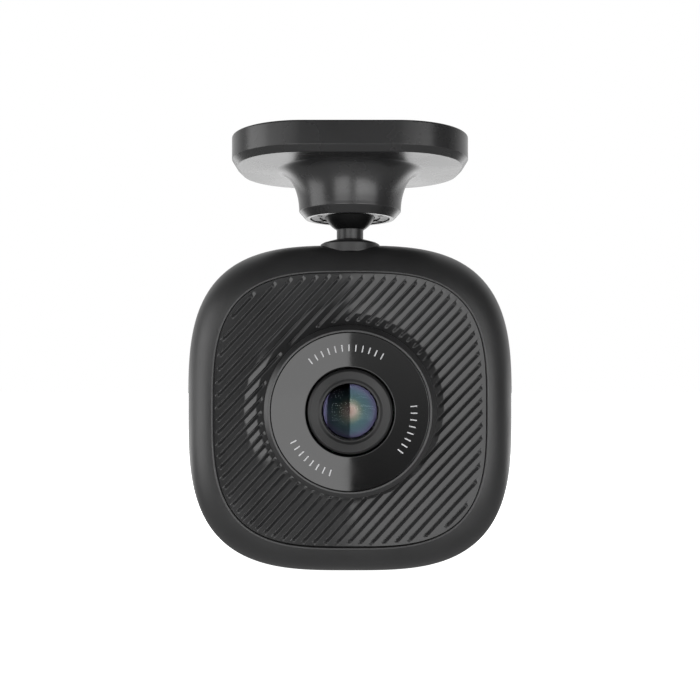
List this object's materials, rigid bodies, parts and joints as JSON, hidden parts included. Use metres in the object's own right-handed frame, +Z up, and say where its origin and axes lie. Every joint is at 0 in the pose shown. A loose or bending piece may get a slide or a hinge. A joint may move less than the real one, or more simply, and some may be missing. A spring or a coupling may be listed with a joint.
{
  "type": "dash camera",
  "caption": "Square dash camera with a ribbed front and central lens, hung by a ball joint under an adhesive windscreen plate.",
  "frame": {"origin": "centre of the adhesive pad's top face, where the camera sticks to the windscreen", "axes": "+Z up out of the pad, the lens looks along -Y, +X to the right as seen from in front of the lens, and the stem axis is X = Y = 0"},
  "size_m": [0.0596, 0.0342, 0.079],
  "materials": {
    "housing_plastic": "fine spark-eroded satin black",
    "mount_plastic": "fine spark-eroded satin black",
    "fascia_plastic": "satin black with slanted ribs",
    "trim_plastic": "smooth dark grey",
    "gloss_black": "polished piano black",
    "socket_plastic": "polished black acetal",
    "stud_plastic": "satin black",
    "steel": "zinc plated",
    "aluminium": "plain sheet",
    "foam_tape": "black acrylic foam tape",
    "rubber": "black nitrile",
    "lens_metal": "black-grey satin lens cell",
    "coated_glass": "anti-reflection coated",
    "filter_glass": "infrared cut coating",
    "circuit_board": "green solder mask",
    "chip_package": "black epoxy",
    "connector_plastic": "cream nylon",
    "thermal_gel": "grey-blue silicone",
    "capacitor_sleeve": "shrink sleeve",
    "brass_can": "gold flash",
    "led_epoxy": "phosphor yellow",
    "clear_plastic": "clear acrylic"
  },
  "bodies": {
    "mount": {"mount_plate": "mount_plastic", "adhesive_pad": "foam_tape", "socket_cup": "socket_plastic", "cup_screws": "steel", "grip_ring": "rubber"},
    "liner": {"ball_liner": "socket_plastic"},
    "stud": {"ball_stud": "stud_plastic", "stud_washer": "steel", "stud_clip": "steel"},
    "button": {"power_button": "housing_plastic"},
    "card": {"memory_card": "chip_package"},
    "camera": {"stem_collar": "stud_plastic", "stud_bracket": "steel", "bracket_screws": "steel", "front_housing": "housing_plastic", "rear_housing": "housing_plastic", "fascia": "fascia_plastic", "lens_gasket": "rubber", "lens_trim_ring": "trim_plastic", "lens_face_disc": "gloss_black", "lens_front_ring": "lens_metal", "front_lens": "coated_glass", "lens_barrel": "lens_metal", "aperture_stop": "chip_package", "middle_lens": "coated_glass", "rear_lens": "coated_glass", "lens_holder": "chip_package", "ir_filter": "filter_glass", "image_sensor": "chip_package", "sensor_board": "circuit_board", "board_connector": "connector_plastic", "main_board": "circuit_board", "processor": "chip_package", "thermal_pad": "thermal_gel", "heat_spreader": "aluminium", "memory_chips": "chip_package", "motion_sensor": "chip_package", "power_inductor": "chip_package", "wifi_antenna": "connector_plastic", "supercapacitors": "capacitor_sleeve", "card_socket": "steel", "usb_socket": "steel", "speaker": "chip_package", "microphone": "brass_can", "status_led": "led_epoxy", "light_pipe": "clear_plastic", "button_switch": "chip_package", "housing_screws": "steel", "board_screws": "steel"}
  },
  "joints": [
    {"name": "ball_roll", "type": "hinge", "parent": "mount", "child": "liner", "pos_m": [0, 0, -0.01206], "axis": [0, 1, 0], "range_deg": [-15, 15]},
    {"name": "ball_tilt", "type": "hinge", "parent": "liner", "child": "stud", "pos_m": [0, 0, -0.01206], "axis": [1, 0, 0], "range_deg": [-30, 30]},
    {"name": "ball_swivel", "type": "hinge", "parent": "stud", "child": "camera", "pos_m": [0, 0, -0.01206], "axis": [0, 0, 1], "continuous": true},
    {"name": "button_press", "type": "slide", "parent": "camera", "child": "button", "axis": [0, -1, 0], "range_m": [0, 0.0005], "stiffness_N_per_m": 300, "springref_m": -0.002},
    {"name": "card_slide", "type": "slide", "parent": "camera", "child": "card", "axis": [1, 0, 0], "range_m": [0, 0.012]}
  ]
}
